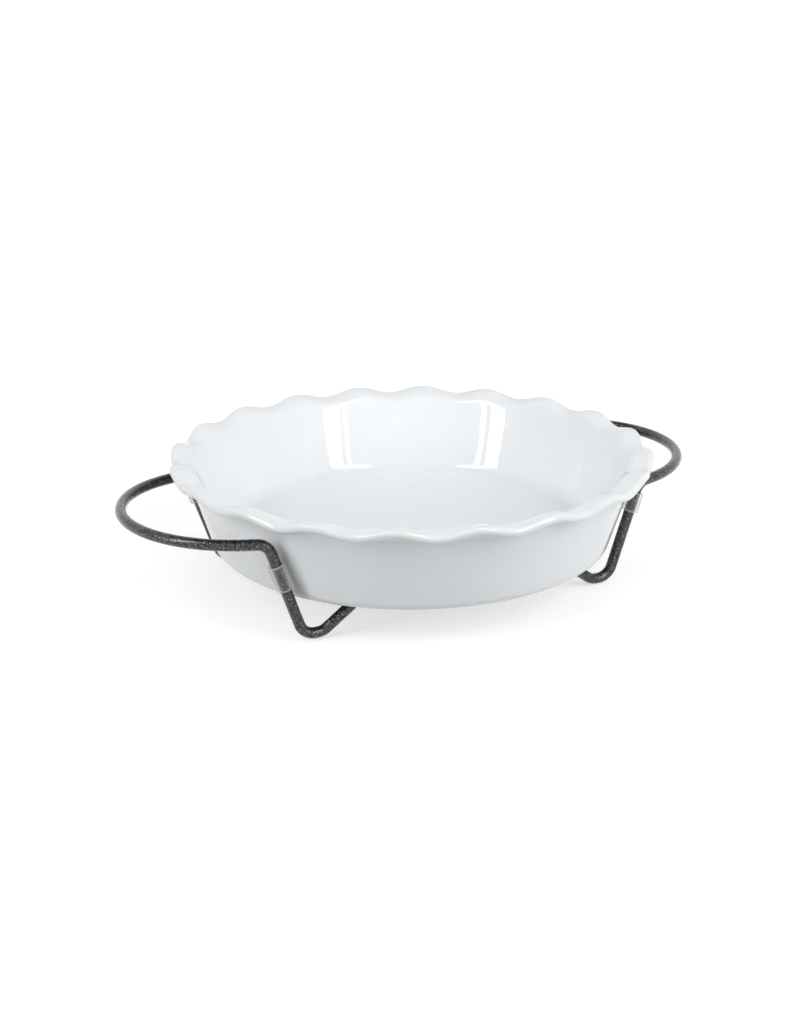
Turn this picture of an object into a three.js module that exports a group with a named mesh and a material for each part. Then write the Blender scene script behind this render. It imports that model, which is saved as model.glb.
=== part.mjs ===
// Round pie dish with a ruffled rim, carried by a bent wire rack with two loop handles.
// Millimetres, +Z up, floor at z = 0, +X along the two handles, dish axis on the Z axis.
import * as THREE from "three";

// Dish, heights measured from the underside of its foot ring
const RIM_R = 131.9; // radius to the centre of the rounded rim edge
const RIM_Z = 49.1; // height of that centre
const RIM_EDGE_R = 2.5; // radius of the rounded rim edge, half the flange thickness
const FLANGE_RISE = THREE.MathUtils.degToRad(9);
const RIM_OVERHANG = 21.2; // rim edge centre beyond the foot of the outer wall
const WALL_SLOPE = 0.31; // outward run of the wall per unit of height
const WALL_T = 5; // wall thickness under the flange
const FLOOR_T = 6; // height of the inside floor above the base plane
const FLOOR_INSET = 4; // growth of the wall's thickness from the flange down to the inside floor
const BASE_ROUND_R = 8;
const FLANGE_ROUND_R = 6.5;
const FLOOR_ROUND_R = 9;
const FOOT_RING_IN = 96; // inner radius of the foot ring
const FOOT_RING_H = 1.2; // depth of the recess inside the foot ring
const RECESS_DRAFT = 1.2; // run of the sloped side of that recess

// Ruffled rim
const WAVES = 20;
const WAVE_Z = 1.8; // rise and fall of the rim edge
const WAVE_R = 0.7; // outward sway of the rim edge, in step with the rise
const WAVE_PHASE = THREE.MathUtils.degToRad(220.85);
const WAVE_FADE = 14; // depth of wall over which the waves fade out below the flange
const WAVE_GROW = 12.4; // width of flange over which the waves grow towards the rim edge
const WAVE_ROOT = 0.6; // share of the waves at the root of the flange
const STEPS_PER_WAVE = 6;

// Wire rack
const WIRE_R = 3;
const WIRE_SIDES = 12;
const HANDLE_Z = 56; // centreline height of the tops of the legs
const HANDLE_RISE = 0.025; // rise of a handle loop per unit of run away from the legs
const HANDLE_STAND_OFF = 33.7; // centreline of the loop tip beyond the rim edge centre
const HANDLE_STRAIGHT = 10; // straight run from the top of a leg to the loop
const RUNNER_Y = 63; // runners, feet and legs lie at this distance each side
const RUNNER_Z = 18.6; // centreline height of the runners
const LEG_LEAN = 0.341; // outward run of a leg per unit of height
const ARM_RISE = 0.718; // rise of the arm from the foot to the runner per unit of run
const FOOT_LENGTH = 10.8; // distance along the floor between the leg line and the arm line
const FOOT_BEND_R = 8.8;
const RUNNER_BEND_R = 10;
const CORNER_BEND_R = 7.5;
const WELD_LENGTH = 3;

// Bumper sleeves
const SLEEVE_R = 4.65;
const SLEEVE_SIDES = 16;
const SLEEVE_LONG = 14.5;
const SLEEVE_SHORT = 11;
const SLEEVE_LONG_Z = 37.3; // centre height of the long sleeve
const SLEEVE_SHORT_Z = 45.3; // centre height of the short sleeves

// Clearances
const SEAT_GAP = 0.3; // dish above the runners
const WELD_GAP = 0.3; // wire end to weld
const SLEEVE_GAP = 0.3; // sleeve bore to wire
const BUMPER_GAP = 1; // sleeve to dish wall, the play of the dish in the rack

// Positions that follow from the values above
const BASE_Z = RUNNER_Z + WIRE_R + SEAT_GAP - FOOT_RING_H;
const WALL_FOOT_R = RIM_R - RIM_OVERHANG; // outer wall continued down to the base plane
const HANDLE_REACH = RIM_R + HANDLE_STAND_OFF;
const WALL_SECANT = Math.hypot(1, WALL_SLOPE);
const wallRadius = (z) => WALL_FOOT_R + WALL_SLOPE * (z - BASE_Z);
const LEG_MEET_R = wallRadius(SLEEVE_LONG_Z) + (BUMPER_GAP + SLEEVE_R) * WALL_SECANT;
const LEG_MEET_X = Math.sqrt(LEG_MEET_R ** 2 - RUNNER_Y ** 2);
const legX = (z) => LEG_MEET_X + LEG_LEAN * (z - SLEEVE_LONG_Z);

const porcelain = new THREE.MeshStandardMaterial({ color: 0xf1f2f3, roughness: 0.15, metalness: 0 });
const coatedSteel = new THREE.MeshStandardMaterial({ color: 0x46474b, roughness: 0.45, metalness: 0.5 });
const clearVinyl = new THREE.MeshStandardMaterial({ color: 0xb9bcba, roughness: 0.35, metalness: 0 });

// Replaces the sharp corner at b, between a and c, by points on an arc of the given radius.
function roundCorner(a, b, c, radius, steps) {
  const back = a.clone().sub(b).normalize();
  const ahead = c.clone().sub(b).normalize();
  const half = back.angleTo(ahead) / 2;
  const centre = back.clone().add(ahead).normalize().multiplyScalar(radius / Math.sin(half)).add(b);
  const start = back.clone().multiplyScalar(radius / Math.tan(half)).add(b).sub(centre);
  const end = ahead.clone().multiplyScalar(radius / Math.tan(half)).add(b).sub(centre);
  const turn = Math.PI - 2 * half;
  return Array.from({ length: steps + 1 }, (_, i) => {
    const t = i / steps;
    const p = start.clone().multiplyScalar(Math.sin((1 - t) * turn) / Math.sin(turn));
    return p.add(end.clone().multiplyScalar(Math.sin(t * turn) / Math.sin(turn))).add(centre);
  });
}

// Half section of the dish, from the axis under the base, round the rim, to the axis on the inside floor.
function dishProfile() {
  const rise = Math.tan(FLANGE_RISE);
  const across = new THREE.Vector2(-Math.sin(FLANGE_RISE), Math.cos(FLANGE_RISE));
  const along = new THREE.Vector2(Math.cos(FLANGE_RISE), Math.sin(FLANGE_RISE));
  const rim = new THREE.Vector2(RIM_R, RIM_Z);
  const wallPoint = (footR, z) => new THREE.Vector2(footR + WALL_SLOPE * z, z);
  // Point where a flange face meets a wall face: side is 1 for the inside, -1 for the outside
  const root = (side, footR) => {
    const p = rim.clone().addScaledVector(across, side * RIM_EDGE_R);
    return wallPoint(footR, (p.y + rise * (footR - p.x)) / (1 - rise * WALL_SLOPE));
  };
  const innerFootR = WALL_FOOT_R - WALL_T * WALL_SECANT;
  const outerRoot = root(-1, WALL_FOOT_R);
  const innerRoot = root(1, innerFootR);
  const wallFoot = wallPoint(WALL_FOOT_R, 0);
  const floorEdge = wallPoint(innerFootR - FLOOR_INSET, FLOOR_T);
  const fadeEnd = outerRoot.y - WAVE_FADE;
  const innerShare = (innerRoot.y - fadeEnd) / (innerRoot.y - FLOOR_T);
  const under = rim.clone().addScaledVector(across, -RIM_EDGE_R);
  const over = rim.clone().addScaledVector(across, RIM_EDGE_R);
  const ringIn = new THREE.Vector2(FOOT_RING_IN, 0);
  const floorCentre = new THREE.Vector2(0, FLOOR_T);
  const edge = [0, 1, 2, 3, 4].map((i) => {
    const turn = (i * Math.PI) / 4;
    const out = along.clone().multiplyScalar(RIM_EDGE_R * Math.sin(turn));
    return rim.clone().add(out).addScaledVector(across, -RIM_EDGE_R * Math.cos(turn));
  });
  return [
    new THREE.Vector2(0, FOOT_RING_H),
    new THREE.Vector2(FOOT_RING_IN - RECESS_DRAFT, FOOT_RING_H),
    ringIn,
    ...roundCorner(ringIn, wallFoot, outerRoot, BASE_ROUND_R, 4),
    wallPoint(WALL_FOOT_R, fadeEnd),
    ...roundCorner(wallFoot, outerRoot, under, FLANGE_ROUND_R, 3),
    ...edge,
    ...roundCorner(over, innerRoot, floorEdge, FLANGE_ROUND_R, 3),
    innerRoot.clone().lerp(floorEdge, innerShare),
    ...roundCorner(innerRoot, floorEdge, floorCentre, FLOOR_ROUND_R, 4),
    floorCentre,
  ];
}

// The dish as a turned body whose flange rises and falls in waves, strongest at the rim edge,
// that fade out down the wall.
function dishGeometry() {
  const profile = dishProfile();
  const geometry = new THREE.LatheGeometry(profile, WAVES * STEPS_PER_WAVE);
  geometry.rotateX(Math.PI / 2);
  const flangeZ = RIM_Z - 2 * RIM_EDGE_R;
  const position = geometry.getAttribute("position");
  for (let i = 0; i < position.count; i++) {
    const p = profile[i % profile.length];
    const fade = THREE.MathUtils.smoothstep(p.y, flangeZ - WAVE_FADE, flangeZ);
    const grow = THREE.MathUtils.smoothstep(p.x, RIM_R - WAVE_GROW, RIM_R);
    const weight = fade * THREE.MathUtils.lerp(WAVE_ROOT, 1, grow);
    const theta = Math.atan2(position.getY(i), position.getX(i));
    const wave = weight * Math.cos(WAVES * theta + WAVE_PHASE);
    const r = p.x + WAVE_R * wave;
    const z = BASE_Z + p.y + WAVE_Z * wave;
    position.setXYZ(i, r * Math.cos(theta), r * Math.sin(theta), z);
  }
  geometry.computeVertexNormals();
  return geometry;
}

// Centreline of a bent wire through given stations, closely set in bends and far apart on straights.
class WirePath extends THREE.Curve {
  constructor(stations, twistFrom, twistTo) {
    super();
    this.stations = stations;
    this.twistFrom = twistFrom;
    this.twistTo = twistTo;
  }

  getPointAt(u, target = new THREE.Vector3()) {
    return target.copy(this.stations[Math.round(u * (this.stations.length - 1))]);
  }

  getTangentAt(u, target = new THREE.Vector3()) {
    const last = this.stations.length - 1;
    const i = Math.round(u * last);
    const ahead = this.stations[Math.min(i + 1, last)].clone().sub(this.stations[i]).normalize();
    const behind = this.stations[i].clone().sub(this.stations[Math.max(i - 1, 0)]).normalize();
    return target.copy(ahead).add(behind).normalize();
  }

  // Carries the section along without twist, then spreads the leftover turn over the handle loop,
  // so that the section has a flat side down at both ends of the wire.
  computeFrenetFrames(segments, closed) {
    const frames = super.computeFrenetFrames(segments, closed);
    const side = (2 * Math.PI) / WIRE_SIDES;
    const up = new THREE.Vector3(0, 0, 1);
    const end = Math.atan2(frames.binormals[segments].dot(up), frames.normals[segments].dot(up));
    const leftover = end - side * Math.round(end / side);
    for (let i = 0; i <= segments; i++) {
      const share = (i - this.twistFrom) / (this.twistTo - this.twistFrom);
      const turn = leftover * THREE.MathUtils.clamp(share, 0, 1);
      frames.normals[i].applyAxisAngle(frames.tangents[i], turn);
      frames.binormals[i].applyAxisAngle(frames.tangents[i], turn);
    }
    return frames;
  }
}

// Round wire section with flat sides at the wire radius, one of them square to the carried normal.
function wireSection() {
  const corner = WIRE_R / Math.cos(Math.PI / WIRE_SIDES);
  return new THREE.Shape(
    Array.from({ length: WIRE_SIDES }, (_, i) => {
      const a = ((i + 0.5) * 2 * Math.PI) / WIRE_SIDES;
      return new THREE.Vector2(corner * Math.cos(a), corner * Math.sin(a));
    }),
  );
}

// Half of the rack: half runner, arm, foot, leg, handle loop and back again on the other side.
function rackGeometry() {
  const armFootX = legX(WIRE_R) - FOOT_LENGTH;
  const at = (x, z) => new THREE.Vector3(x, -RUNNER_Y, z);
  const end = at(WELD_LENGTH / 2 + WELD_GAP, RUNNER_Z);
  const runnerEnd = at(armFootX - (RUNNER_Z - WIRE_R) / ARM_RISE, RUNNER_Z);
  const armFoot = at(armFootX, WIRE_R);
  const legFoot = at(legX(WIRE_R), WIRE_R);
  const legTop = at(legX(HANDLE_Z), HANDLE_Z);
  // The loop is an arc, and a straight tangent to it runs to the top of each leg
  const depth = HANDLE_REACH - legTop.x;
  const loopR = (RUNNER_Y ** 2 + depth ** 2 - HANDLE_STRAIGHT ** 2) / (2 * depth);
  const loopX = HANDLE_REACH - loopR;
  const first = Math.atan2(-RUNNER_Y, legTop.x - loopX) + Math.atan2(HANDLE_STRAIGHT, loopR);
  const loopSteps = 24;
  const loop = Array.from({ length: loopSteps + 1 }, (_, i) => {
    const a = first - (2 * first * i) / loopSteps;
    const x = loopX + loopR * Math.cos(a);
    return new THREE.Vector3(x, loopR * Math.sin(a), HANDLE_Z + HANDLE_RISE * (x - legTop.x));
  });
  const near = [
    end,
    ...roundCorner(end, runnerEnd, armFoot, RUNNER_BEND_R, 3),
    ...roundCorner(runnerEnd, armFoot, legFoot, FOOT_BEND_R, 3),
    ...roundCorner(armFoot, legFoot, legTop, FOOT_BEND_R, 5),
    ...roundCorner(legFoot, legTop, loop[0], CORNER_BEND_R, 5),
  ];
  const far = near.map((p) => new THREE.Vector3(p.x, -p.y, p.z)).reverse();
  const stations = [...near, ...loop, ...far];
  const path = new WirePath(stations, near.length, near.length + loopSteps);
  return new THREE.ExtrudeGeometry(wireSection(), { steps: stations.length - 1, extrudePath: path });
}

// Short nugget that fills the gap between two wire ends on a runner.
function weldGeometry() {
  const from = new THREE.Vector3(-WELD_LENGTH / 2, 0, 0);
  const to = new THREE.Vector3(WELD_LENGTH / 2, 0, 0);
  const path = new THREE.LineCurve3(from, to);
  return new THREE.ExtrudeGeometry(wireSection(), { steps: 1, extrudePath: path });
}

// Tube with a straight bore, its axis along Y.
function sleeveGeometry(length) {
  const cornerGap = WIRE_R / Math.cos(Math.PI / WIRE_SIDES) - WIRE_R;
  const bore = WIRE_R + SLEEVE_GAP + cornerGap;
  const section = [
    [bore, -length / 2],
    [SLEEVE_R, -length / 2],
    [SLEEVE_R, length / 2],
    [bore, length / 2],
    [bore, -length / 2],
  ];
  return new THREE.LatheGeometry(section.map(([r, y]) => new THREE.Vector2(r, y)), SLEEVE_SIDES);
}

const part = new THREE.Group();
part.name = "pie_dish_in_rack";

function place(name, geometry, material) {
  const mesh = new THREE.Mesh(geometry, material);
  mesh.name = name;
  part.add(mesh);
  return mesh;
}

place("pie_dish", dishGeometry(), porcelain);
place("rack_wire_right", rackGeometry(), coatedSteel);
place("rack_wire_left", rackGeometry(), coatedSteel).rotation.z = Math.PI;
place("runner_weld_front", weldGeometry(), coatedSteel).position.set(0, -RUNNER_Y, RUNNER_Z);
place("runner_weld_rear", weldGeometry(), coatedSteel).position.set(0, RUNNER_Y, RUNNER_Z);

const sleeves = [
  ["bumper_sleeve_front_left", -1, -1, SLEEVE_LONG, SLEEVE_LONG_Z],
  ["bumper_sleeve_front_right", 1, -1, SLEEVE_SHORT, SLEEVE_SHORT_Z],
  ["bumper_sleeve_rear_left", -1, 1, SLEEVE_SHORT, SLEEVE_SHORT_Z],
  ["bumper_sleeve_rear_right", 1, 1, SLEEVE_SHORT, SLEEVE_SHORT_Z],
];
for (const [name, sideX, sideY, length, z] of sleeves) {
  const mesh = place(name, sleeveGeometry(length), clearVinyl);
  const axis = new THREE.Vector3(sideX * LEG_LEAN, 0, 1).normalize();
  mesh.quaternion.setFromUnitVectors(new THREE.Vector3(0, 1, 0), axis);
  mesh.position.set(sideX * legX(z), sideY * RUNNER_Y, z);
}

export default part;
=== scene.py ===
"""Looks of a white pie dish with a ruffled rim that stands in a bent wire rack with loop handles.

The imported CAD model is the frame: metres, floor at z = 0, +X through both handles, dish axis on Z.
Every node is replaced by a finer surface in the same place, dressed and set in a plain white studio.
"""
from __future__ import annotations

import logging
import math
from dataclasses import dataclass, field
from enum import Enum

import bpy
import numpy as np
from mathutils import Matrix, Vector

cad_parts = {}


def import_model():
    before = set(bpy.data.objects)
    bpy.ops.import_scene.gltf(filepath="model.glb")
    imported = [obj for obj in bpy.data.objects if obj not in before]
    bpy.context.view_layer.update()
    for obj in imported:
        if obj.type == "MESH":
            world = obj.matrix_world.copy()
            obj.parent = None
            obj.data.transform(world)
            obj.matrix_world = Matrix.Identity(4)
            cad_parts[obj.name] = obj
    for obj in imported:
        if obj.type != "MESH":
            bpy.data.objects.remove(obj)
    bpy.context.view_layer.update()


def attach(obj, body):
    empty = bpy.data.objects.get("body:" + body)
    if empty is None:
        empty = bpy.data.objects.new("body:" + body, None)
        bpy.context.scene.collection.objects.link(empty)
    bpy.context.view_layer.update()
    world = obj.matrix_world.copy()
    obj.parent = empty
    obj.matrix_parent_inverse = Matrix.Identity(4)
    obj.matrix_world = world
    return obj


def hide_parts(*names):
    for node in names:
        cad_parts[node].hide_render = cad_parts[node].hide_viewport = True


LOG = logging.getLogger("pie_dish")
Colour = tuple[float, float, float]
Span = tuple[float, float]


# Meshes from arrays


@dataclass
class Shell:
    """A surface as arrays.

    Attributes:
        points: One row of x, y, z for each point.
        quads: Corner numbers of the four-sided faces.
        triangles: Corner numbers of the three-sided faces.
        masks: Named values from 0 to 1, one for each point, that the finishes read.
    """

    points: np.ndarray
    quads: np.ndarray
    triangles: np.ndarray = field(default_factory=lambda: np.empty((0, 3), int))
    masks: dict[str, np.ndarray] = field(default_factory=dict)

    def half_turned(self) -> Shell:
        """The same surface turned by half a turn about the Z axis."""
        return Shell(self.points * (-1.0, -1.0, 1.0), self.quads, self.triangles, self.masks)

    def make(self, name: str, finish: bpy.types.Material) -> bpy.types.Object:
        """Puts the arrays into a smooth mesh object at the origin.

        Args:
            name: Name of the object and of its mesh.
            finish: Material that covers the whole surface.

        Returns:
            The new object, linked to the scene.
        """
        mesh = bpy.data.meshes.new(name)
        faces = self.quads.tolist() + self.triangles.tolist()
        mesh.from_pydata(self.points.tolist(), [], faces, shade_flat=False)
        for mask, values in self.masks.items():
            layer = mesh.attributes.new(mask, "FLOAT", "POINT")
            layer.data.foreach_set("value", np.ascontiguousarray(values, np.float32))
        mesh.materials.append(finish)
        piece = bpy.data.objects.new(name, mesh)
        bpy.context.scene.collection.objects.link(piece)
        return piece


def grid_quads(rows: int, columns: int, closed: bool) -> np.ndarray:
    """Faces of a grid of points whose columns close on themselves.

    Point (i, j) has the number i * columns + j, and a face joins (i, j), (i, j + 1), (i + 1, j + 1)
    and (i + 1, j), so it points outwards where rows rise and columns run anticlockwise.

    Args:
        rows: Number of rows of points.
        columns: Number of points in a row.
        closed: Whether the last row joins the first one.

    Returns:
        Corner numbers, four for each face.
    """
    i = np.arange(rows if closed else rows - 1)[:, None]
    j = np.arange(columns)[None, :]
    here = i * columns
    there = (i + 1) % rows * columns
    after = (j + 1) % columns
    corners = np.broadcast_arrays(here + j, here + after, there + after, there + j)
    return np.stack(corners, axis=-1).reshape(-1, 4)


def fan(centre: int, ring: np.ndarray) -> np.ndarray:
    """Triangles from one point to each side of a closed ring of points, in the ring's direction."""
    return np.stack([np.full(len(ring), centre), ring, np.roll(ring, -1)], axis=-1)


def end_caps(rows: int, columns: int) -> np.ndarray:
    """Triangles that close both ends of a grid whose two end points follow the grid's own points.

    The first row is taken backwards, so both caps point outwards where the faces of the grid do.

    Args:
        rows: Number of rows of points.
        columns: Number of points in a row.

    Returns:
        Corner numbers, three for each face.
    """
    count = rows * columns
    first = np.arange(columns)[::-1]
    last = count - columns + np.arange(columns)
    return np.vstack([fan(count, first), fan(count + 1, last)])


def full_turn(count: int) -> np.ndarray:
    """Evenly spaced angles on a full turn, from 0 and without the end."""
    return np.linspace(0, 2 * math.pi, count, endpoint=False)


def round_corner(a: np.ndarray, b: np.ndarray, c: np.ndarray,
                 radius: float, steps: int) -> np.ndarray:
    """Points on the arc that replaces the sharp corner at b between a and c.

    The arc touches both sides at radius / tan(half the corner's angle) from b. Its points are spread
    evenly by turning the first spoke into the last one with sine weights.

    Args:
        a: Point before the corner.
        b: The corner.
        c: Point after the corner.
        radius: Radius of the arc.
        steps: Number of spans on the arc.

    Returns:
        One row for each of the steps + 1 points.
    """
    back = (a - b) / np.linalg.norm(a - b)
    ahead = (c - b) / np.linalg.norm(c - b)
    half = math.acos(float(np.clip(back @ ahead, -1, 1))) / 2
    middle = (back + ahead) / np.linalg.norm(back + ahead)
    centre = b + middle * radius / math.sin(half)
    first = b + back * radius / math.tan(half) - centre
    last = b + ahead * radius / math.tan(half) - centre
    turn = math.pi - 2 * half
    t = np.linspace(0, 1, steps + 1)[:, None]
    return centre + (first * np.sin((1 - t) * turn) + last * np.sin(t * turn)) / math.sin(turn)


def refine(points: np.ndarray, longest: float) -> np.ndarray:
    """A line of points with its long spans cut into equal ones.

    A span is cut into as many as its length over the longest one, rounded up.

    Args:
        points: One row for each point of the line.
        longest: Length that no span goes over.

    Returns:
        The points of the finer line.
    """
    spans = np.diff(points, axis=0)
    counts = np.maximum(1, np.ceil(np.linalg.norm(spans, axis=1) / longest)).astype(int)
    index = np.repeat(np.arange(len(spans)), counts)
    first = np.repeat(np.cumsum(counts) - counts, counts)
    share = (np.arange(counts.sum()) - first) / counts[index]
    return np.vstack([points[index] + share[:, None] * spans[index], points[-1]])


def smooth_step(x: np.ndarray, low: float, high: float) -> np.ndarray:
    """Rises from 0 at low to 1 at high along 3 t squared less 2 t cubed."""
    t = np.clip((x - low) / (high - low), 0, 1)
    return t * t * (3 - 2 * t)


# Node trees


@dataclass
class Wiring:
    """A node tree and short ways to add nodes and links to it."""

    tree: bpy.types.NodeTree

    def add(self, kind: str, **settings: object) -> bpy.types.Node:
        """Adds a node and sets its own properties.

        Args:
            kind: Blender's type name after ShaderNode.
            **settings: Properties of the node.

        Returns:
            The new node.
        """
        node = self.tree.nodes.new("ShaderNode" + kind)
        for name, value in settings.items():
            setattr(node, name, value)
        return node

    def fill(self, socket: bpy.types.NodeSocket, value: object) -> None:
        """Links an input to an output socket, or sets the input's own value.

        Args:
            socket: Input to fill.
            value: An output socket, a number, or a colour without its alpha.
        """
        if isinstance(value, bpy.types.NodeSocket):
            self.tree.links.new(value, socket)
        elif isinstance(value, tuple) and socket.type == "RGBA":
            socket.default_value = (*value, 1.0)
        else:
            socket.default_value = value

    def plug(self, node: bpy.types.Node, **sockets: object) -> bpy.types.Node:
        """Sets or links sockets of a node, with underscores for the spaces in their names.

        Args:
            node: Node whose inputs are filled.
            **sockets: A value, or an output socket of another node, for each input.

        Returns:
            The same node.
        """
        for name, value in sockets.items():
            self.fill(node.inputs[name.replace("_", " ")], value)
        return node

    def maths(self, operation: str, a: object, b: object = 0.0) -> bpy.types.NodeSocket:
        """Adds a Math node with two inputs.

        Args:
            operation: Blender's name of the operation.
            a: First number or socket.
            b: Second number or socket.

        Returns:
            The node's output.
        """
        node = self.add("Math", operation=operation)
        for socket, value in zip(node.inputs, (a, b)):
            self.fill(socket, value)
        return node.outputs[0]

    def mix(self, share: object, a: object, b: object, blend: str = "MIX") -> bpy.types.NodeSocket:
        """Adds a Mix node for colours, whose inputs 0, 6 and 7 are the share and both colours.

        Args:
            share: How far the result goes from a to b.
            a: First colour or socket.
            b: Second colour or socket.
            blend: Blender's name of the way of blending.

        Returns:
            The node's colour output.
        """
        node = self.add("Mix", data_type="RGBA", blend_type=blend)
        for number, value in ((0, share), (6, a), (7, b)):
            self.fill(node.inputs[number], value)
        return node.outputs[2]

    def spread(self, value: bpy.types.NodeSocket, low: float, high: float,
               to_low: float = 0.0, to_high: float = 1.0) -> bpy.types.NodeSocket:
        """Adds a clamped Map Range node.

        Args:
            value: Socket to map.
            low: Value that becomes to_low.
            high: Value that becomes to_high.
            to_low: Result at low.
            to_high: Result at high.

        Returns:
            The node's output.
        """
        node = self.add("MapRange", clamp=True)
        self.plug(node, Value=value, From_Min=low, From_Max=high, To_Min=to_low, To_Max=to_high)
        return node.outputs[0]

    def noise(self, where: bpy.types.NodeSocket, scale: object,
              detail: float = 2.0) -> bpy.types.NodeSocket:
        """Adds a Noise node.

        Args:
            where: Coordinates in metres.
            scale: Repeats per metre, a number or a socket.
            detail: Number of finer layers.

        Returns:
            The node's value output.
        """
        node = self.add("TexNoise")
        self.plug(node, Vector=where, Scale=scale, Detail=detail)
        return node.outputs["Fac"]

    def mask(self, name: str) -> bpy.types.NodeSocket:
        """Value output of a named mesh attribute."""
        return self.add("Attribute", attribute_name=name).outputs["Fac"]

    def object_place(self) -> bpy.types.NodeSocket:
        """Object coordinates, which are metres in the CAD frame."""
        return self.add("TexCoord").outputs["Object"]


def new_material(name: str) -> tuple[bpy.types.Material, Wiring, bpy.types.Node]:
    """A node material with one Principled shader.

    Args:
        name: Name of the material.

    Returns:
        The material, its wiring and the Principled node.
    """
    material = bpy.data.materials.new(name)
    material.use_nodes = True
    return material, Wiring(material.node_tree), material.node_tree.nodes["Principled BSDF"]


def tone_drift_group() -> bpy.types.NodeTree:
    """Node group for the slow unevenness of a colour over a surface.

    A coarse noise and one four times finer are averaged, and the output runs from about 1 less the
    amount to about 1 plus the amount, to multiply a colour.

    Returns:
        The group, made once.
    """
    name = "tone drift"
    if name in bpy.data.node_groups:
        return bpy.data.node_groups[name]
    group = bpy.data.node_groups.new(name, "ShaderNodeTree")
    group.interface.new_socket("Place", in_out="INPUT", socket_type="NodeSocketVector")
    group.interface.new_socket("Scale", in_out="INPUT", socket_type="NodeSocketFloat")
    group.interface.new_socket("Amount", in_out="INPUT", socket_type="NodeSocketFloat")
    group.interface.new_socket("Factor", in_out="OUTPUT", socket_type="NodeSocketFloat")
    wires = Wiring(group)
    given = group.nodes.new("NodeGroupInput")
    result = group.nodes.new("NodeGroupOutput")
    coarse = wires.noise(given.outputs["Place"], given.outputs["Scale"])
    finer = wires.maths("MULTIPLY", given.outputs["Scale"], 4.0)
    fine = wires.noise(given.outputs["Place"], finer)
    both = wires.maths("ADD", coarse, fine)
    swing = wires.maths("SUBTRACT", both, 1.0)
    amount = wires.maths("MULTIPLY", swing, given.outputs["Amount"])
    doubled = wires.maths("MULTIPLY", amount, 2.0)
    wires.tree.links.new(wires.maths("ADD", doubled, 1.0), result.inputs["Factor"])
    return group


def drifted(wires: Wiring, colour: object, place: bpy.types.NodeSocket,
            scale: float, amount: float) -> bpy.types.NodeSocket:
    """A colour multiplied by the tone drift group.

    Args:
        wires: Wiring of the material.
        colour: Colour or colour socket to vary.
        place: Coordinates of the surface.
        scale: Coarse repeats per metre.
        amount: About the largest change either way, as a share of the colour.

    Returns:
        The varied colour.
    """
    node = wires.add("Group", node_tree=tone_drift_group())
    wires.plug(node, Place=place, Scale=scale, Amount=amount)
    return wires.mix(1.0, colour, node.outputs["Factor"], "MULTIPLY")


# Finishes


@dataclass(frozen=True)
class PorcelainGlaze:
    """White gloss glaze, a little thinner on the rim edge, with a bare foot ring.

    Scales are repeats per metre. The levels of a noise within a span are spread over its share, which
    multiplies the gloss or the bare colour.
    """

    body: Colour = (0.80, 0.825, 0.845)
    thin: Colour = (0.74, 0.755, 0.765)
    bare: Colour = (0.72, 0.69, 0.64)
    thin_share: float = 0.5
    drift_scale: float = 22.0
    drift: float = 0.012
    gloss: float = 0.03
    sheen_scale: float = 60.0
    sheen_span: Span = (0.3, 0.7)
    sheen_share: Span = (0.7, 1.5)
    bare_roughness: float = 0.75
    grain_scale: float = 900.0
    grain_detail: float = 3.0
    grain_span: Span = (0.35, 0.65)
    grain_share: Span = (0.92, 1.04)
    ripple_scale: float = 55.0
    ripple_detail: float = 1.0
    ripple_strength: float = 0.12
    ripple_depth: float = 0.0009
    refraction: float = 1.52

    def material(self) -> bpy.types.Material:
        """Builds the material.

        Returns:
            Glaze that reads the masks "rim_edge" and "bare_foot".
        """
        material, wires, shader = new_material("porcelain_glaze")
        place = wires.object_place()
        bare = wires.mask("bare_foot")
        edge = wires.mask("rim_edge")
        glaze = drifted(wires, self.body, place, self.drift_scale, self.drift)
        glaze = wires.mix(wires.maths("MULTIPLY", edge, self.thin_share), glaze, self.thin)
        grain = wires.noise(place, self.grain_scale, self.grain_detail)
        grain = wires.spread(grain, *self.grain_span, *self.grain_share)
        biscuit = wires.mix(1.0, self.bare, grain, "MULTIPLY")
        colour = wires.mix(bare, glaze, biscuit)
        smooth, dull = (self.gloss * share for share in self.sheen_share)
        sheen = wires.spread(wires.noise(place, self.sheen_scale), *self.sheen_span, smooth, dull)
        rough = wires.maths("MULTIPLY", bare, self.bare_roughness)
        ripple = wires.noise(place, self.ripple_scale, self.ripple_detail)
        bump = wires.add("Bump")
        wires.plug(bump, Height=ripple, Strength=self.ripple_strength, Distance=self.ripple_depth)
        wires.plug(shader, Base_Color=colour, Roughness=wires.maths("MAXIMUM", sheen, rough),
                   IOR=self.refraction, Normal=bump.outputs["Normal"])
        return material


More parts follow.
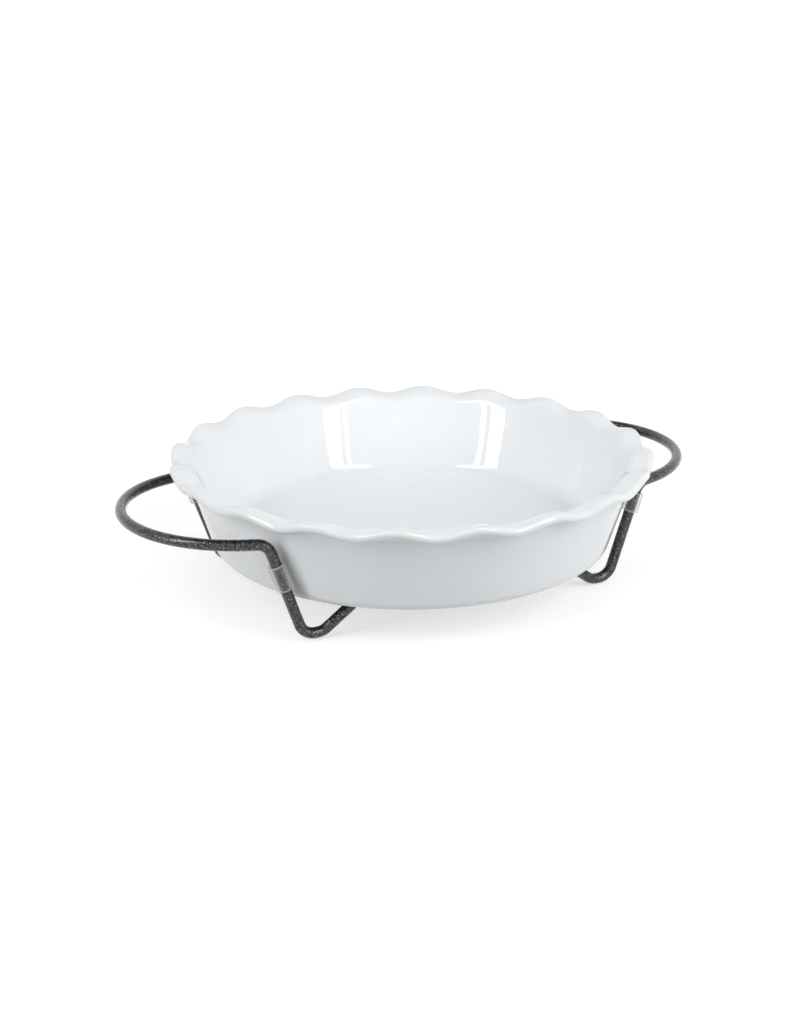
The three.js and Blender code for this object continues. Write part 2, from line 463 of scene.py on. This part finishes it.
@dataclass(frozen=True)
class HammeredCoat:
    """Dark grey metallic coat with fine dimples and small bright flecks.

    Dimples, specks and the drift scale are repeats per metre. The tone span, the fleck chance and the
    fleck reach are levels between which a cell's random value or distance takes effect.
    """

    dark: Colour = (0.009, 0.009, 0.01)
    light: Colour = (0.08, 0.081, 0.086)
    fleck: Colour = (0.4, 0.4, 0.41)
    dimples: float = 1050.0
    dimple_blend: float = 0.4
    dimple_strength: float = 0.7
    dimple_depth: float = 0.0003
    specks: float = 1400.0
    tone_span: Span = (0.1, 0.95)
    fleck_chance: Span = (0.88, 0.93)
    fleck_reach: Span = (0.2, 0.5)
    drift_scale: float = 90.0
    drift: float = 0.12
    metal: float = 0.85
    roughness: Span = (0.14, 0.3)
    lacquer: float = 0.5
    lacquer_roughness: float = 0.06

    def material(self) -> bpy.types.Material:
        """Builds the material.

        Returns:
            Coat whose cells differ in tone and whose dimples bend the highlights.
        """
        material, wires, shader = new_material("hammered_coat")
        place = wires.object_place()
        dimple = wires.add("TexVoronoi", feature="SMOOTH_F1")
        wires.plug(dimple, Vector=place, Scale=self.dimples, Smoothness=self.dimple_blend)
        cell = wires.add("TexVoronoi", feature="F1")
        wires.plug(cell, Vector=place, Scale=self.specks)
        chance = wires.add("SeparateColor")
        wires.plug(chance, Color=cell.outputs["Color"])
        tone = wires.spread(chance.outputs["Red"], *self.tone_span)
        colour = wires.mix(tone, self.dark, self.light)
        rare = wires.spread(chance.outputs["Green"], *self.fleck_chance)
        core = wires.spread(cell.outputs["Distance"], *self.fleck_reach, 1.0, 0.0)
        colour = wires.mix(wires.maths("MULTIPLY", rare, core), colour, self.fleck)
        colour = drifted(wires, colour, place, self.drift_scale, self.drift)
        rough = wires.spread(chance.outputs["Blue"], 0.0, 1.0, *self.roughness)
        bump = wires.add("Bump")
        wires.plug(bump, Height=dimple.outputs["Distance"], Strength=self.dimple_strength,
                   Distance=self.dimple_depth)
        wires.plug(shader, Base_Color=colour, Metallic=self.metal, Roughness=rough,
                   Coat_Weight=self.lacquer, Coat_Roughness=self.lacquer_roughness,
                   Normal=bump.outputs["Normal"])
        return material


@dataclass(frozen=True)
class ClearVinyl:
    """Clear soft tube, slightly cloudy, with pale cut ends.

    A veil is how solid the tube looks: face on, at its outline and on a cut end. Scales are repeats
    per metre. The levels of the haze within its span are spread over its share of the roughness.
    """

    clear: Colour = (0.73, 0.74, 0.71)
    cut: Colour = (0.80, 0.81, 0.74)
    veil: float = 0.04
    edge_veil: float = 0.5
    edge_span: Span = (0.12, 0.65)
    edge_blend: float = 0.5
    cut_veil: float = 0.3
    drift_scale: float = 160.0
    drift: float = 0.03
    roughness: float = 0.22
    haze_scale: float = 400.0
    haze_span: Span = (0.3, 0.7)
    haze_share: Span = (0.6, 1.8)
    cut_roughness: float = 0.45
    refraction: float = 1.46

    def material(self) -> bpy.types.Material:
        """Builds the material.

        Returns:
            Clear finish that reads the mask "cut_end".
        """
        material, wires, shader = new_material("clear_vinyl")
        place = wires.object_place()
        cut = wires.mask("cut_end")
        clear = drifted(wires, self.clear, place, self.drift_scale, self.drift)
        colour = wires.mix(cut, clear, self.cut)
        smooth, dull = (self.roughness * share for share in self.haze_share)
        haze = wires.spread(wires.noise(place, self.haze_scale), *self.haze_span, smooth, dull)
        rough = wires.maths("MAXIMUM", haze, wires.maths("MULTIPLY", cut, self.cut_roughness))
        facing = wires.add("LayerWeight")
        wires.plug(facing, Blend=self.edge_blend)
        edge = wires.spread(facing.outputs["Facing"], *self.edge_span, self.veil, self.edge_veil)
        ring = wires.maths("MULTIPLY", cut, self.cut_veil)
        wires.plug(shader, Base_Color=colour, Roughness=rough, IOR=self.refraction,
                   Alpha=wires.maths("MAXIMUM", edge, ring))
        return material


# The dish


@dataclass
class PieDish:
    """Porcelain dish turned from one half section, with a flange that rises and falls in waves.

    Heights in the section are measured from the underside of the foot ring, which stands at base_z.
    The wall is wall_t thick at the flange and grows by about floor_inset down to the inside floor.
    The glaze thins out between thin_from and thin_full times the rim edge's radius from its centre.
    """

    rim_r: float = 0.1319
    rim_z: float = 0.0491
    rim_edge_r: float = 0.0025
    flange_rise: float = math.radians(9)
    wall_foot_r: float = 0.1107
    wall_slope: float = 0.31
    wall_t: float = 0.005
    floor_t: float = 0.006
    floor_inset: float = 0.004
    base_round_r: float = 0.008
    flange_round_r: float = 0.0065
    floor_round_r: float = 0.009
    foot_ring_in: float = 0.096
    foot_ring_h: float = 0.0012
    foot_ring_round_r: float = 0.0006
    recess_draft: float = 0.0012
    recess_round_r: float = 0.0008
    bare_in: float = 0.0955
    bare_out: float = 0.108
    bare_h: float = 0.0005
    thin_from: float = 2.2
    thin_full: float = 0.9
    waves: int = 20
    wave_z: float = 0.0018
    wave_r: float = 0.0007
    wave_phase: float = math.radians(220.85)
    wave_fade: float = 0.014
    wave_grow: float = 0.0124
    wave_root: float = 0.6
    base_z: float = 0.0207
    columns: int = 640
    edge_points: int = 15
    longest_span: float = 0.0065

    def half_section(self) -> np.ndarray:
        """Half section from the axis under the base, round the rim, to the axis on the inside floor.

        Straight lines meet in arcs: foot ring, base, wall, flange root, half-round rim edge, flange
        root again, inner wall and floor. The inner wall runs in by floor_inset towards the floor.

        Returns:
            One row of radius and height for each point.
        """
        across = np.array([-math.sin(self.flange_rise), math.cos(self.flange_rise)])
        along = np.array([math.cos(self.flange_rise), math.sin(self.flange_rise)])
        rim = np.array([self.rim_r, self.rim_z])
        under = rim - across * self.rim_edge_r
        over = rim + across * self.rim_edge_r
        inner_foot = self.wall_foot_r - self.wall_t * math.hypot(1, self.wall_slope)
        outer_root = self.flange_root(under, self.wall_foot_r)
        inner_root = self.flange_root(over, inner_foot)
        wall_foot = np.array([self.wall_foot_r, 0.0])
        floor_r = inner_foot + self.wall_slope * self.floor_t - self.floor_inset
        floor_edge = np.array([floor_r, self.floor_t])
        floor_centre = np.array([0.0, self.floor_t])
        ring_in = np.array([self.foot_ring_in, 0.0])
        recess = np.array([self.foot_ring_in - self.recess_draft, self.foot_ring_h])
        recess_centre = np.array([0.0, self.foot_ring_h])
        turn = np.linspace(0, math.pi, self.edge_points)[:, None]
        edge = rim + self.rim_edge_r * (np.sin(turn) * along - np.cos(turn) * across)
        return refine(np.vstack([
            recess_centre,
            round_corner(recess_centre, recess, ring_in, self.recess_round_r, steps=3),
            round_corner(recess, ring_in, wall_foot, self.foot_ring_round_r, steps=4),
            round_corner(ring_in, wall_foot, outer_root, self.base_round_r, steps=12),
            round_corner(wall_foot, outer_root, under, self.flange_round_r, steps=10),
            edge,
            round_corner(over, inner_root, floor_edge, self.flange_round_r, steps=10),
            round_corner(inner_root, floor_edge, floor_centre, self.floor_round_r, steps=16),
            floor_centre,
        ]), self.longest_span)

    def flange_root(self, face: np.ndarray, foot_r: float) -> np.ndarray:
        """Point where a face of the flange meets a face of the wall.

        The wall's face rises from its foot at wall_slope, and the flange's face falls inwards from the
        rim at flange_rise.

        Args:
            face: Point at the rim on the flange's face.
            foot_r: Radius of the wall's face at height 0.

        Returns:
            Radius and height of the point.
        """
        rise = math.tan(self.flange_rise)
        z = (face[1] + rise * (foot_r - face[0])) / (1 - rise * self.wall_slope)
        return np.array([foot_r + self.wall_slope * z, z])

    def shell(self) -> Shell:
        """Carries the half section round the axis.

        At angle t the wave is cos(waves * t + phase). It moves a point up by wave_z and out by wave_r,
        at full strength on the rim edge, less at the flange's root and fading down the wall.

        Returns:
            The closed surface with a pole at each end.
        """
        section = self.half_section()
        ring = section[1:-1]
        r, z = ring[:, :1], ring[:, 1:]
        flange_z = self.rim_z - 2 * self.rim_edge_r
        fade = smooth_step(z, flange_z - self.wave_fade, flange_z)
        grow = smooth_step(r, self.rim_r - self.wave_grow, self.rim_r)
        weight = fade * (self.wave_root + (1 - self.wave_root) * grow)
        t = full_turn(self.columns)[None, :]
        wave = weight * np.cos(self.waves * t + self.wave_phase)
        out = r + self.wave_r * wave
        height = self.base_z + z + self.wave_z * wave
        points = np.stack([out * np.cos(t), out * np.sin(t), height], axis=-1).reshape(-1, 3)
        poles = [[0, 0, self.base_z + section[0, 1]], [0, 0, self.base_z + section[-1, 1]]]
        reach = np.hypot(section[:, 0] - self.rim_r, section[:, 1] - self.rim_z)
        edge = smooth_step(reach, self.rim_edge_r * self.thin_from, self.rim_edge_r * self.thin_full)
        on_ring = (section[:, 0] > self.bare_in) & (section[:, 0] < self.bare_out)
        bare = on_ring & (section[:, 1] < self.bare_h)
        return Shell(
            np.vstack([points, poles]),
            grid_quads(len(ring), self.columns, False),
            end_caps(len(ring), self.columns),
            {"rim_edge": self.to_points(edge), "bare_foot": self.to_points(bare.astype(float))},
        )

    def to_points(self, values: np.ndarray) -> np.ndarray:
        """Values of the section repeated for every point of the surface, poles last."""
        return np.concatenate([np.repeat(values[1:-1], self.columns), values[:1], values[-1:]])

    def build(self, glaze: bpy.types.Material) -> list[bpy.types.Object]:
        """Makes and dresses the dish.

        Args:
            glaze: Finish of the dish.

        Returns:
            The dish on its own body.
        """
        dish = self.shell().make("dish_surface", glaze)
        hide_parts("pie_dish")
        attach(dish, "dish")
        return [dish]


# The rack


@dataclass
class WireRack:
    """Two bent wires, each with half of both runners, two feet, two legs and a loop handle."""

    wire_r: float = 0.003
    sides: int = 32
    handle_z: float = 0.056
    handle_rise: float = 0.025
    handle_reach: float = 0.1656
    handle_straight: float = 0.010
    runner_y: float = 0.063
    runner_z: float = 0.0186
    leg_lean: float = 0.341
    leg_meet_x: float = 0.104196
    leg_meet_z: float = 0.0373
    arm_rise: float = 0.718
    foot_length: float = 0.0108
    foot_bend_r: float = 0.0088
    runner_bend_r: float = 0.010
    corner_bend_r: float = 0.0075
    wire_end: float = 0.0016
    weld_half: float = 0.0018
    weld_bulge: float = 0.00022
    weld_sink: float = 0.0001
    weld_ripples: int = 3
    weld_ripple: float = 0.25
    weld_rows: int = 25
    loop_points: int = 121
    longest_span: float = 0.008

    def leg_x(self, z: float) -> float:
        """Distance of a leg's centreline from the middle at a height."""
        return self.leg_meet_x + self.leg_lean * (z - self.leg_meet_z)

    def route(self) -> np.ndarray:
        """Centreline of the right wire, from the front weld round the handle to the rear weld.

        Straight runs meet in arcs. The handle is one arc of a circle through the loop's tip, with a
        straight tangent to the top of each leg, all in a plane that rises away from the legs.

        Returns:
            One row of x, y, z for each station.
        """
        arm_foot_x = self.leg_x(self.wire_r) - self.foot_length
        runner_end_x = arm_foot_x - (self.runner_z - self.wire_r) / self.arm_rise
        y = -self.runner_y
        end = np.array([self.wire_end, y, self.runner_z])
        runner_end = np.array([runner_end_x, y, self.runner_z])
        arm_foot = np.array([arm_foot_x, y, self.wire_r])
        leg_foot = np.array([self.leg_x(self.wire_r), y, self.wire_r])
        leg_top = np.array([self.leg_x(self.handle_z), y, self.handle_z])
        depth = self.handle_reach - leg_top[0]
        loop_r = (y * y + depth * depth - self.handle_straight**2) / (2 * depth)
        loop_x = self.handle_reach - loop_r
        first = math.atan2(y, leg_top[0] - loop_x) + math.atan2(self.handle_straight, loop_r)
        a = np.linspace(first, -first, self.loop_points)
        x = loop_x + loop_r * np.cos(a)
        z = self.handle_z + self.handle_rise * (x - leg_top[0])
        loop = np.stack([x, loop_r * np.sin(a), z], axis=1)
        near = np.vstack([
            end,
            round_corner(end, runner_end, arm_foot, self.runner_bend_r, steps=12),
            round_corner(runner_end, arm_foot, leg_foot, self.foot_bend_r, steps=12),
            round_corner(arm_foot, leg_foot, leg_top, self.foot_bend_r, steps=20),
            round_corner(leg_foot, leg_top, loop[0], self.corner_bend_r, steps=20),
        ])
        far = (near * (1.0, -1.0, 1.0))[::-1]
        return refine(np.vstack([near, loop, far]), self.longest_span)

    def tube(self) -> Shell:
        """Carries the round section along the route.

        At each station the section's first spoke is the upright less its share along the wire, and
        its second spoke is square to both, so the section doesn't twist between stations.

        Returns:
            The closed surface of the right wire, with a flat cap at each end.
        """
        route = self.route()
        steps = np.diff(route, axis=0)
        steps /= np.linalg.norm(steps, axis=1, keepdims=True)
        along = np.vstack([steps[:1], steps[:-1] + steps[1:], steps[-1:]])
        along /= np.linalg.norm(along, axis=1, keepdims=True)
        spoke = np.array([0.0, 0.0, 1.0]) - along[:, 2:] * along
        spoke /= np.linalg.norm(spoke, axis=1, keepdims=True)
        second = np.cross(along, spoke)
        a = full_turn(self.sides)[None, :, None]
        ring = np.cos(a) * spoke[:, None, :] + np.sin(a) * second[:, None, :]
        points = (route[:, None, :] + self.wire_r * ring).reshape(-1, 3)
        return Shell(
            np.vstack([points, route[:1], route[-1:]]),
            grid_quads(len(route), self.sides, False),
            end_caps(len(route), self.sides),
        )

    def bead(self, y: float) -> Shell:
        """Weld bead round the joint of the two wires on one runner.

        Its radius at a share s of its half length is the wire's radius, less what sinks into the wire,
        plus the bulge times 1 less s to the fourth, with shallow ripples.

        Args:
            y: Distance of the runner from the middle.

        Returns:
            The closed surface of the bead.
        """
        s = np.linspace(-1, 1, self.weld_rows)[:, None]
        a = full_turn(self.sides)[None, :]
        ripple = 1 + self.weld_ripple * np.cos(self.weld_ripples * math.pi * s + np.sin(a))
        r = self.wire_r - self.weld_sink + self.weld_bulge * (1 - s**4) * ripple
        x = np.broadcast_to(s * self.weld_half, r.shape)
        points = np.stack([x, y - r * np.sin(a), self.runner_z + r * np.cos(a)], axis=-1)
        ends = [[-self.weld_half, y, self.runner_z], [self.weld_half, y, self.runner_z]]
        return Shell(
            np.vstack([points.reshape(-1, 3), ends]),
            grid_quads(len(s), self.sides, False),
            end_caps(len(s), self.sides),
        )

    def build(self, coat: bpy.types.Material) -> list[bpy.types.Object]:
        """Makes and dresses both wires and both weld beads.

        Args:
            coat: Finish of the rack.

        Returns:
            The four pieces on the rack's body.
        """
        right = self.tube()
        shells = {
            "rack_wire_right": right,
            "rack_wire_left": right.half_turned(),
            "runner_weld_front": self.bead(-self.runner_y),
            "runner_weld_rear": self.bead(self.runner_y),
        }
        pieces = []
        for node, shell in shells.items():
            piece = shell.make(node + "_surface", coat)
            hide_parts(node)
            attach(piece, "rack")
            pieces.append(piece)
        return pieces


# The sleeves


class Leg(Enum):
    """A leg of the rack, with its side along X and along Y."""

    FRONT_LEFT = ("front_left", -1, -1)
    FRONT_RIGHT = ("front_right", 1, -1)
    REAR_LEFT = ("rear_left", -1, 1)
    REAR_RIGHT = ("rear_right", 1, 1)


@dataclass
class BumperSleeve:
    """Clear tube on one leg that keeps the dish from knocking on the wire.

    Its cut ends turn pale between cut_from and cut_full from each end.
    """

    leg: Leg
    length: float = 0.011
    centre_z: float = 0.0453
    outer_r: float = 0.00465
    bore_r: float = 0.00312
    lip_r: float = 0.00035
    cut_from: float = 0.0008
    cut_full: float = 0.0002
    sides: int = 64
    longest_span: float = 0.0008

    def section(self) -> tuple[np.ndarray, np.ndarray]:
        """Closed section of the tube wall: up the outside, over the end, down the bore and back.

        Returns:
            Rows of radius and height along the tube, and how far each point belongs to a cut end.
        """
        half = self.length / 2
        corners = np.array([
            [self.outer_r, -half], [self.outer_r, half], [self.bore_r, half], [self.bore_r, -half],
        ])
        arcs = [
            round_corner(corners[k - 1], corners[k], corners[(k + 1) % 4], self.lip_r, steps=5)
            for k in range(4)
        ]
        loop = refine(np.vstack([*arcs, arcs[0][:1]]), self.longest_span)[:-1]
        return loop, smooth_step(np.abs(loop[:, 1]), half - self.cut_from, half - self.cut_full)

    def shell(self, rack: WireRack) -> Shell:
        """Carries the section round the leg's centreline.

        A point at radius r and height h along the tube lies at the centre plus h along the leg plus
        r times a spoke that turns square to the leg.

        Args:
            rack: Rack whose leg carries the sleeve.

        Returns:
            The closed surface of the tube.
        """
        _, side_x, side_y = self.leg.value
        axis = np.array([side_x * rack.leg_lean, 0.0, 1.0]) / math.hypot(1, rack.leg_lean)
        second = np.array([0.0, 1.0, 0.0])
        spoke = np.cross(second, axis)
        x = side_x * rack.leg_x(self.centre_z)
        centre = np.array([x, side_y * rack.runner_y, self.centre_z])
        loop, cut = self.section()
        a = full_turn(self.sides)[None, :, None]
        ring = np.cos(a) * spoke + np.sin(a) * second
        points = centre + loop[:, 1, None, None] * axis + loop[:, 0, None, None] * ring
        masks = {"cut_end": np.repeat(cut, self.sides)}
        return Shell(points.reshape(-1, 3), grid_quads(len(loop), self.sides, True), masks=masks)

    def build(self, rack: WireRack, vinyl: bpy.types.Material) -> list[bpy.types.Object]:
        """Makes and dresses the sleeve.

        Args:
            rack: Rack whose leg carries the sleeve.
            vinyl: Finish of the sleeve.

        Returns:
            The sleeve on its own body.
        """
        name = self.leg.value[0]
        piece = self.shell(rack).make(f"sleeve_{name}_surface", vinyl)
        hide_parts(f"bumper_sleeve_{name}")
        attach(piece, f"sleeve_{name}")
        return [piece]


# The studio


class Reach(Enum):
    """What a lamp acts on: mirror images in gloss, or the diffuse light on a surface."""

    GLOSS = "gloss"
    MATTE = "matte"


@dataclass(frozen=True)
class SoftLight:
    """A flat lamp that faces the dish.

    Attributes:
        name: Name of the lamp.
        turn: Degrees to the camera's right, measured at the dish.
        low: Elevation of its lower edge in degrees, before it is tilted to the dish.
        high: Elevation of its upper edge in degrees, before it is tilted to the dish.
        width: Width in degrees.
        glow: Brightness of its face, where 1 is white.
        lean: Degrees that its top leans to the camera's left.
        reach: What it acts on.
    """

    name: str
    turn: float
    low: float
    high: float
    width: float
    glow: float
    lean: float = 0.0
    reach: Reach = Reach.MATTE


@dataclass
class Studio:
    """Camera of the photograph, soft lamps, white surround, pale floor and a ceiling for the gloss.

    The floor glows by floor_lift under the dish and turns white between both white_reach distances.
    """

    eye: tuple[float, float, float] = (-0.381008, -0.792385, 0.347507)
    target: tuple[float, float, float] = (-0.003607, 0.007138, 0.034174)
    roll: float = math.radians(-0.416)
    lens: float = 57.825
    sensor: float = 36.0
    near_clip: float = 0.01
    lamp_distance: float = 1.4
    lamp_level: float = 0.05
    lamps: tuple[SoftLight, ...] = (
        SoftLight("right_strip", 47.2, 4.0, 58.0, 10.6, 10.4, 12.0, Reach.GLOSS),
        SoftLight("right_slit", 38.5, 4.0, 58.0, 2.3, 10.4, 12.0, Reach.GLOSS),
        SoftLight("left_strip", -51.6, 4.0, 58.0, 10.3, 9.4, -12.0, Reach.GLOSS),
        SoftLight("left_slit", -42.6, 4.0, 58.0, 3.1, 9.4, -12.0, Reach.GLOSS),
        SoftLight("right_front", 45.5, 4.0, 40.0, 13.5, 3.0),
        SoftLight("left_front", -49.0, 4.0, 40.0, 14.5, 2.0),
        SoftLight("right_side", 68.0, 4.0, 46.0, 26.0, 5.4),
        SoftLight("left_side", -62.0, 6.0, 48.0, 22.0, 5.4),
    )
    top_height: float = 1.3
    top_size: float = 0.7
    top_glow: float = 1.85
    surround_light: float = 0.255
    floor_colour: Colour = (0.55, 0.55, 0.55)
    floor_roughness: float = 0.9
    floor_lift: float = 0.62
    white_reach: Span = (0.3, 0.9)
    floor_radii: tuple[float, ...] = (0.6, 2.0, 14.0)
    floor_drop: float = 0.0004
    floor_sides: int = 96
    ceiling_height: float = 1.45
    ceiling_radius: float = 1.0
    ceiling_tone: float = 0.08
    ceiling_sides: int = 64

    def build(self) -> None:
        """Sets up the view, the lamps, the surround, the floor and the ceiling."""
        bpy.context.scene.view_settings.view_transform = "Standard"
        self.place_camera()
        for lamp in self.lamps:
            self.place_lamp(lamp)
        self.hang_top_lamp()
        self.paint_surround()
        self.lay_floor()
        self.hang_ceiling()

    def place_camera(self) -> None:
        """Puts the camera at the eye, turned to the target and rolled about its own axis."""
        camera = bpy.data.cameras.new("camera")
        camera.sensor_fit = "VERTICAL"
        camera.sensor_height = self.sensor
        camera.sensor_width = self.sensor
        camera.lens = self.lens
        camera.clip_start = self.near_clip
        holder = bpy.data.objects.new("camera", camera)
        bpy.context.scene.collection.objects.link(holder)
        ahead = Vector(self.target) - Vector(self.eye)
        look = ahead.to_track_quat("-Z", "Y").to_matrix().to_4x4()
        roll = Matrix.Rotation(self.roll, 4, "Z")
        holder.matrix_world = Matrix.Translation(self.eye) @ look @ roll
        bpy.context.scene.camera = holder

    def place_lamp(self, soft: SoftLight) -> None:
        """Stands one soft light round the dish and turns its face to the dish.

        A face that glows with radiance L sends out pi L times its area in watts.

        Args:
            soft: Place, size and brightness of the light.
        """
        turn = math.atan2(self.eye[0], -self.eye[1]) + math.radians(soft.turn)
        low = self.lamp_distance * math.tan(math.radians(soft.low))
        high = self.lamp_distance * math.tan(math.radians(soft.high))
        place = Vector((math.sin(turn), -math.cos(turn), 0)) * self.lamp_distance
        place.z = self.lamp_level + (low + high) / 2
        lamp = bpy.data.lights.new(soft.name, "AREA")
        lamp.shape = "RECTANGLE"
        lamp.size = 2 * self.lamp_distance * math.tan(math.radians(soft.width / 2))
        lamp.size_y = high - low
        lamp.energy = math.pi * soft.glow * lamp.size * lamp.size_y
        holder = bpy.data.objects.new(soft.name, lamp)
        holder.visible_glossy = soft.reach is Reach.GLOSS
        holder.visible_diffuse = soft.reach is Reach.MATTE
        bpy.context.scene.collection.objects.link(holder)
        ahead = Vector((0, 0, self.lamp_level)) - place
        aim = ahead.to_track_quat("-Z", "Y").to_matrix().to_4x4()
        roll = Matrix.Rotation(math.radians(soft.lean), 4, "Z")
        holder.matrix_world = Matrix.Translation(place) @ aim @ roll

    def hang_top_lamp(self) -> None:
        """Hangs a round lamp over the dish for the surfaces that face up, out of sight of gloss."""
        lamp = bpy.data.lights.new("top_lamp", "AREA")
        lamp.shape = "DISK"
        lamp.size = self.top_size
        lamp.energy = math.pi * self.top_glow * math.pi * self.top_size ** 2 / 4
        holder = bpy.data.objects.new("top_lamp", lamp)
        holder.visible_glossy = False
        holder.location = (0.0, 0.0, self.top_height)
        bpy.context.scene.collection.objects.link(holder)

    def paint_surround(self) -> None:
        """White for the camera, for gloss and for glass, and a softer grey for the light it gives."""
        world = bpy.data.worlds.new("surround")
        world.use_nodes = True
        wires = Wiring(world.node_tree)
        seen = self.seen_share(wires)
        strength = wires.spread(seen, 0.0, 1.0, self.surround_light, 1.0)
        sky = world.node_tree.nodes["Background"]
        wires.plug(sky, Color=(1.0, 1.0, 1.0), Strength=strength)
        bpy.context.scene.world = world

    @staticmethod
    def seen_share(wires: Wiring) -> bpy.types.NodeSocket:
        """Tells rays that see a surface from rays that gather its light.

        Args:
            wires: Wiring of the material or of the world.

        Returns:
            Value that is 1 for rays from the camera, from gloss and through glass, and 0 for others.
        """
        path = wires.add("LightPath")
        glossy = path.outputs["Is Glossy Ray"]
        through = path.outputs["Is Transmission Ray"]
        mirrored = wires.maths("MAXIMUM", glossy, through)
        return wires.maths("MAXIMUM", path.outputs["Is Camera Ray"], mirrored)

    def lay_floor(self) -> None:
        """Lays a pale round floor under the feet that shows white where no shadow falls.

        Seen from below it is clear, so that the underside of the rack and the dish stays in view.
        """
        radius = np.array(self.floor_radii)[:, None]
        a = full_turn(self.floor_sides)[None, :]
        x, y = radius * np.cos(a), radius * np.sin(a)
        points = np.stack([x, y, np.full_like(x, -self.floor_drop)], axis=-1).reshape(-1, 3)
        points = np.vstack([points, [[0, 0, -self.floor_drop]]])
        quads = grid_quads(len(radius), self.floor_sides, False)[:, ::-1]
        middle = fan(len(points) - 1, np.arange(self.floor_sides))
        material, wires, shader = new_material("floor")
        away = wires.add("VectorMath", operation="LENGTH")
        wires.plug(away, Vector=wires.object_place())
        white = wires.spread(away.outputs["Value"], *self.white_reach, self.floor_lift, 1.0)
        lift = wires.maths("MULTIPLY", self.seen_share(wires), white)
        side = wires.add("NewGeometry")
        solid = wires.maths("SUBTRACT", 1.0, side.outputs["Backfacing"])
        wires.plug(shader, Base_Color=self.floor_colour, Roughness=self.floor_roughness,
                   Specular_IOR_Level=0.0, Emission_Color=(1.0, 1.0, 1.0), Emission_Strength=lift,
                   Alpha=solid)
        floor = Shell(points, quads, middle).make("floor", material)

    def hang_ceiling(self) -> None:
        """Hangs a dark round sheet over the dish that only gloss can see."""
        a = full_turn(self.ceiling_sides)
        x, y = self.ceiling_radius * np.cos(a), self.ceiling_radius * np.sin(a)
        ring = np.stack([x, y, np.full_like(a, self.ceiling_height)], axis=1)
        points = np.vstack([ring, [[0, 0, self.ceiling_height]]])
        sheet = fan(self.ceiling_sides, np.arange(self.ceiling_sides)[::-1])
        material, wires, shader = new_material("ceiling")
        wires.plug(shader, Base_Color=(0.0, 0.0, 0.0), Roughness=1.0, Specular_IOR_Level=0.0,
                   Emission_Color=(1.0, 1.0, 1.0), Emission_Strength=self.ceiling_tone)
        ceiling = Shell(points, np.empty((0, 4), int), sheet).make("ceiling", material)
        ceiling.visible_camera = False
        ceiling.visible_diffuse = False
        ceiling.visible_transmission = False
        ceiling.visible_shadow = False


def main() -> None:
    """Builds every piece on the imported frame, dresses it and sets up the studio."""
    logging.basicConfig(level=logging.INFO, format="%(name)s: %(message)s")
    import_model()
    Studio().build()
    rack = WireRack()
    vinyl = ClearVinyl().material()
    sleeves = [
        BumperSleeve(Leg.FRONT_LEFT, length=0.0145, centre_z=0.0373),
        BumperSleeve(Leg.FRONT_RIGHT),
        BumperSleeve(Leg.REAR_LEFT),
        BumperSleeve(Leg.REAR_RIGHT),
    ]
    pieces = PieDish().build(PorcelainGlaze().material())
    pieces += rack.build(HammeredCoat().material())
    for sleeve in sleeves:
        pieces += sleeve.build(rack, vinyl)
    for piece in pieces:
        LOG.info("%s has %d faces", piece.name, len(piece.data.polygons))


if __name__ == "__main__":
    main()
